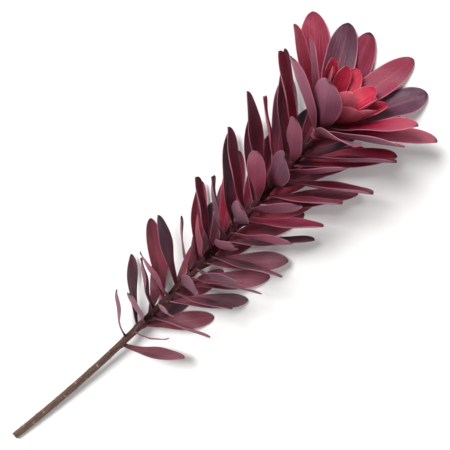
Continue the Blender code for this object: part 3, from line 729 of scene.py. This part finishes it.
leafLook = {
    "shine": {"Sheen Weight": 0.07, "Sheen Roughness": 0.35, "Sheen Tint": (1.0, 0.72, 0.84, 1.0),
              "Specular IOR Level": 0.34},
    "dusk": paint(38, 13, 34), "deep": paint(86, 8, 36), "bright": paint(150, 12, 50),
    "blotch": 0.60, "streak": 0.60, "youth": 0.35, "tipDusk": 0.45,
    "flushColour": paint(184, 26, 64), "flush": 0.45, "flushFrom": 0.60, "flushTo": 0.05,
    "old": paint(98, 76, 78), "ageing": 0.62,
    "slate": 0.62, "slateColour": paint(84, 68, 84),
    # bloom: mauve on the upper face, partly the hairs' own colour and partly painted sheen
    "mauve": paint(152, 84, 110), "dust": 0.58, "bloomAndSheen": 0.12,
    # painted shade: base, with its reach and colour, darkens the root of each leaf
    "paleTipAndHighlight": 0.38, "base": 0.78, "paintedShadeReach": 0.40, "paintedShadeColour": paint(30, 8, 20),
    "vein": 0.22, "veins": 4.5, "rib": 0.45, "ribWidth": 0.10, "ribColour": paint(172, 80, 100),
    # the pale edge and its colour, which the pale tip also uses, are partly real pale colour and partly
    # painted highlight
    "edge": 0.42, "paleAndHighlightColour": paint(204, 118, 142),
    "tip": 0.85, "tipColour": paint(32, 16, 24), "fleck": 0.30,
    "roughness": 0.44, "bump": 0.00040,
}
outerLook = dict(leafLook, **{
    "dusk": paint(66, 12, 40), "deep": paint(102, 7, 36), "bright": paint(144, 11, 50), "tipDusk": 0.30,
    "flushColour": paint(170, 17, 52), "flush": 0.50, "youth": 0.0, "ageing": 0.0,
    # painted shade: base darkens the root of each outer bract
    "slate": 0.42, "mauve": paint(166, 98, 124), "dust": 0.72, "paleTipAndHighlight": 0.30, "base": 0.45,
    # the pale tip above and the pale edge: partly real pale colour, partly painted highlight
    "ribColour": paint(196, 92, 116), "edge": 0.50, "paleAndHighlightColour": paint(218, 136, 156), "fleck": 0.12,
})
innerLook = dict(leafLook, **{
    "dusk": paint(130, 7, 42), "deep": paint(162, 10, 50), "bright": paint(186, 17, 60),
    "youth": 0.0, "tipDusk": 0.0, "ageing": 0.0, "slate": 0.0,
    "flushColour": paint(218, 92, 78), "flush": 0.40, "flushFrom": 0.45, "flushTo": 0.05,
    # bloom: mauve on the upper face, partly the hairs' own colour and partly painted sheen
    "mauve": paint(214, 118, 138), "dust": 0.85, "bloomAndSheen": 0.12, "paleTipAndHighlight": 0.22, "base": 0.0,
    # the pale tip above and the pale edge: partly real pale colour, partly painted highlight
    "ribColour": paint(224, 94, 108), "paleAndHighlightColour": paint(232, 134, 148),
    "tip": 0.30, "tipColour": paint(92, 18, 34), "fleck": 0.0,
})
scaleLook = dict(leafLook, **{
    "dusk": paint(178, 62, 52), "deep": paint(206, 92, 64), "bright": paint(226, 140, 96),
    "youth": 0.0, "tipDusk": 0.0, "slate": 0.0,
    "flushColour": paint(176, 168, 92), "flush": 0.50, "flushFrom": 0.7, "flushTo": 0.0,
    # bloom: pale mauve on the upper face, partly the scales' own colour and partly painted sheen
    "old": paint(150, 150, 80), "ageing": 0.25, "mauve": paint(226, 170, 140), "dust": 0.2, "bloomAndSheen": 0.3,
    # the pale edge colour: partly real pale colour, partly painted highlight
    "paleTipAndHighlight": 0.0, "base": 0.0, "rib": 0.2, "paleAndHighlightColour": paint(240, 190, 150),
    "tip": 0.5, "tipColour": paint(120, 40, 36), "fleck": 0.0,
})


# Bark from weathered brown below to wine above, in lengthwise streaks, with pale corky scars round a
# dark pit, small pale spots, and on the cut a bark ring, a green line, pale rayed wood and a brown pith
def barkFinish(name):
    finish, shader, wire = newFinish(name, {"Specular IOR Level": 0.35})
    place = wire.make("ShaderNodeUVMap", {"uv_map": "bladeMap"})
    solidPlace = wire.make("ShaderNodeTexCoord", output=3)
    height = wire.fact("height")
    cut, scar, pit, cushion = (wire.fact(key) for key in ("cutShare", "scar", "pit", "cushion"))
    x, y, z = (solidPlace.part(index) for index in range(3))
    fibre = wire.noise(wire.vector(x * 900, y * 45, z * 900), 1.0, 4.0, 0.65)
    patch = wire.noise(wire.vector(x * 90, y * 24, z * 90), 1.0, 3.0, 0.5)
    spots = wire.noise(wire.vector(x * 700, y * 420, z * 700), 1.0, 1.0, 0.4).between(0.69, 0.74)
    colour = (height + (patch - 0.5) * 0.35).between(0.12, 0.75).mix(paint(96, 72, 58), paint(62, 20, 32))
    colour = (fibre.between(0.35, 0.7) * 0.55).mix(colour, paint(52, 30, 32))
    colour = ((1 - fibre).between(0.5, 0.72) * 0.35).mix(colour, paint(140, 112, 96))
    colour = (spots * 0.6).mix(colour, paint(176, 150, 128))
    colour = (cushion.between(0.2, 0.9) * 0.5).mix(colour, paint(94, 26, 42))
    colour = (scar.between(0.25, 0.7) * 0.85).mix(colour, paint(158, 134, 112))
    colour = (pit.between(0.35, 0.8) * 0.9).mix(colour, paint(60, 42, 34))

    reach = cut.maths("MINIMUM", cut, 1.0)
    rays = wire.noise(wire.vector(place.part(0) * 8, place.part(1) * 8, reach * 0.6), 1.0, 2.0, 0.6)
    wood = rays.between(0.3, 0.7).mix(paint(206, 184, 142), paint(226, 210, 172))
    wood = reach.between(0.30, 0.12).mix(wood, paint(150, 112, 78))
    wood = reach.between(0.76, 0.82).mix(wood, paint(150, 160, 96))
    wood = reach.between(0.86, 0.92).mix(wood, paint(96, 52, 46))
    onCut = 1 - cut.between(1.0, 1.2)
    colour = onCut.mix(colour, wood)
    roughness = 0.62 + (fibre - 0.5) * 0.2 + onCut * 0.12
    joinFinish(wire, shader, colour, roughness, fibre + patch * 0.5 - spots * 0.2, 0.0004)
    return finish


# Pale silk, rosier at the root of each hair and on the older leaves
def hairFinish(name):
    finish, shader, wire = newFinish(name, {"Roughness": 0.38, "Specular IOR Level": 0.5})
    reach = wire.fact("reach")
    colour = wire.fact("age").mix(paint(170, 96, 112), paint(206, 120, 138))
    colour = reach.between(0.0, 0.8).mix(colour, paint(240, 206, 210))
    wire.tree.links.new(colour.socket, shader.inputs["Base Color"])
    return finish


# Hands a piece to the frame: the body it rides on, the node it stands for where it replaces one, and
# its finish
def give(piece, node, finish):
    piece.data.materials.append(finish)
    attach(piece, "root")
    if node:
        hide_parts(node)


# The bodies of a list of blades
def bladeBodies(blades, settings):
    return [bladeBody(blade, settings["grid"], settings["relief"]) for blade in blades]


seatSettings = {
    "shares": (0.0, 0.08, 0.15, 0.3, 0.5, 0.7, 0.85, 0.95, 1.0), "sides": 28, "tint": 0.3,
    "stops": (0.0, 0.15, 0.5, 0.85, 1.0), "widening": (0.0, 0.4, 0.9, 1.0, 0.9),
}


# The short stretch of stem that a ring of bracts grows from, wider by shares of the way at each stop
def seatBody(start, length, lowRadius, highRadius):
    s = seatSettings
    share = np.array(s["shares"])
    radii = between(lowRadius, highRadius, np.interp(share, s["stops"], s["widening"]))
    return ringBody(start + length * share, radii, s["sides"], s["tint"], 1.0)


# The whole plant: bodies first, then the shift that centres them on the frame's box, hairs left out
def makePlant():
    leaves, outer, inner, scales = leafBlades(), outerBlades(), innerBlades(), scaleBlades()
    seat = plant["stemLength"] + plant["outerSeatLength"] + plant["nodeGap"]
    coneStart = seat + plant["innerSeatLength"] + plant["nodeGap"]
    coneShare = 1 - (1 - np.linspace(0, 1, coneSettings["rings"])) ** coneSettings["ringCrowding"]
    coneShare = coneSettings["topShare"] * coneShare
    print(f"blades: {len(leaves)} leaves, {len(outer) + len(inner)} bracts, {len(scales)} scales")
    groups = {
        "woodyStem": [stemBody(leaves)],
        "leaves": bladeBodies(leaves, leafSettings),
        "outerBracts": bladeBodies(outer, outerSettings) + [
            seatBody(plant["stemLength"] + plant["nodeGap"], plant["outerSeatLength"] - plant["nodeGap"],
                     plant["topRadius"], plant["outerSeatRadius"])],
        "innerBracts": bladeBodies(inner, innerSettings) + [
            seatBody(seat, plant["innerSeatLength"], plant["outerSeatRadius"], plant["innerSeatRadius"])],
        "coneScales": bladeBodies(scales, coneSettings) + [
            ringBody(coneStart + coneSettings["length"] * coneShare, coneRadius(coneShare),
                     coneSettings["sides"], 0.2, 0.5)],
        "marginHairs": hairBodies(leaves, "leaves") + hairBodies(outer, "outerBracts")
        + hairBodies(inner, "innerBracts"),
    }
    everything = np.concatenate([body[0] for name, bodies in groups.items() for body in bodies
                                 if name != "marginHairs"])
    low, high = everything.min(axis=0), everything.max(axis=0)
    shift = (np.array(cadLow) + np.array(cadHigh)) / 2 - (low + high) / 2
    shift[2] = 0.0
    print("plant: moved by", shift.round(5))
    pieces = {name: meshPiece(name, bodies, shift) for name, bodies in groups.items()}
    give(pieces["woodyStem"], "leafy_stem", barkFinish("bark"))
    give(pieces["leaves"], "leafy_stem", bladeFinish("leafFinish", leafLook))
    give(pieces["outerBracts"], "outer_bracts", bladeFinish("outerFinish", outerLook))
    give(pieces["innerBracts"], "inner_bracts", bladeFinish("innerFinish", innerLook))
    give(pieces["coneScales"], "cone", bladeFinish("scaleFinish", scaleLook))
    give(pieces["marginHairs"], None, hairFinish("silk"))


stageSettings = {
    "floorHalf": 6.0, "floorColour": paint(244, 243, 242), "floorRoughness": 0.9,
    "horizon": (1.0, 1.0, 1.0, 1.0), "zenith": (0.30, 0.30, 0.30, 1.0), "bandLow": 0.06, "bandHigh": 0.32,
    "keyFrom": (-0.9, 0.7, 1.4), "keySpread": math.radians(24), "keyStrength": 3.7,
    "fillFrom": (1.3, 0.2, 1.1), "fillSpread": math.radians(45), "fillStrength": 0.6,
}


# A wide pale floor at the level that the plant lies on
def makeFloor():
    s = stageSettings
    half = s["floorHalf"]
    mesh = bpy.data.meshes.new("floor")
    corners = [(-half, -half, 0), (half, -half, 0), (half, half, 0), (-half, half, 0)]
    mesh.from_pydata(corners, [], [(0, 1, 2, 3)])
    floor = bpy.data.objects.new("floor", mesh)
    bpy.context.scene.collection.objects.link(floor)
    finish = newFinish("floorFinish", {"Base Color": s["floorColour"], "Roughness": s["floorRoughness"]})[0]
    mesh.materials.append(finish)
    print("floor: laid")


# An even soft light from one direction, as wide as a large studio lamp looks from the plant
def makeLight(name, source, spread, strength):
    lamp = bpy.data.lights.new(name, "SUN")
    lamp.angle, lamp.energy = spread, strength
    light = bpy.data.objects.new(name, lamp)
    light.location = source
    light.rotation_euler = (-Vector(source)).to_track_quat("-Z", "Y").to_euler()
    bpy.context.scene.collection.objects.link(light)


# A key and a fill, and a sky that is white round the horizon and dimmer above
def makeLights():
    s = stageSettings
    makeLight("keyLight", s["keyFrom"], s["keySpread"], s["keyStrength"])
    makeLight("fillLight", s["fillFrom"], s["fillSpread"], s["fillStrength"])
    world = bpy.data.worlds.new("softSky")
    world.use_nodes = True
    wire = Wire(world.node_tree)
    rise = wire.make("ShaderNodeTexCoord").part(2).size()
    colour = rise.between(s["bandLow"], s["bandHigh"]).mix(s["horizon"], s["zenith"])
    world.node_tree.links.new(colour.socket, world.node_tree.nodes["Background"].inputs["Color"])
    bpy.context.scene.world = world
    bpy.context.scene.view_settings.view_transform = "Standard"
    print("lights: key, fill and sky")


cameraSettings = {
    "tilt": math.radians(32), "lean": math.radians(45), "lens": 75.0, "sensor": 36.0, "fill": 0.95,
    "rounds": 6,
}


# Camera over the plant, tilted to the head's side, turned so that the head points to the upper right,
# and as near as keeps every corner of the nodes inside the given share of the frame
def makeCamera():
    s = cameraSettings
    back = Vector((0, math.sin(s["tilt"]), math.cos(s["tilt"])))
    ahead = Vector((0, math.cos(s["tilt"]), -math.sin(s["tilt"])))
    beside = ahead.cross(back)
    upward = ahead * math.cos(s["lean"]) - beside * math.sin(s["lean"])
    right = upward.cross(back)
    axes = np.array([right, upward, back])
    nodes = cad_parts.values()
    points = np.concatenate([[vertex.co for vertex in node.data.vertices] for node in nodes])
    seen = points @ axes.T
    spread = 0.5 * s["sensor"] / s["lens"] * s["fill"]
    centre = (seen.min(axis=0) + seen.max(axis=0)) / 2
    for _ in range(s["rounds"]):
        reach = np.abs(seen[:, :2] - centre[:2]).max(axis=1) / spread + seen[:, 2]
        eye = reach.max()
        picture = (seen[:, :2] - centre[:2]) / (eye - seen[:, 2])[:, None]
        centre[:2] += (picture.min(axis=0) + picture.max(axis=0)) / 2 * (eye - centre[2])
    camera = bpy.data.objects.new("camera", bpy.data.cameras.new("camera"))
    camera.data.lens, camera.data.sensor_width = s["lens"], s["sensor"]
    place = Vector(centre[0] * axes[0] + centre[1] * axes[1] + eye * axes[2])
    turned = Matrix((right, upward, back)).transposed().to_4x4()
    camera.matrix_world = Matrix.Translation(place) @ turned
    bpy.context.scene.collection.objects.link(camera)
    bpy.context.scene.camera = camera
    print("camera: set")


makeCamera()
makePlant()
makeFloor()
makeLights()
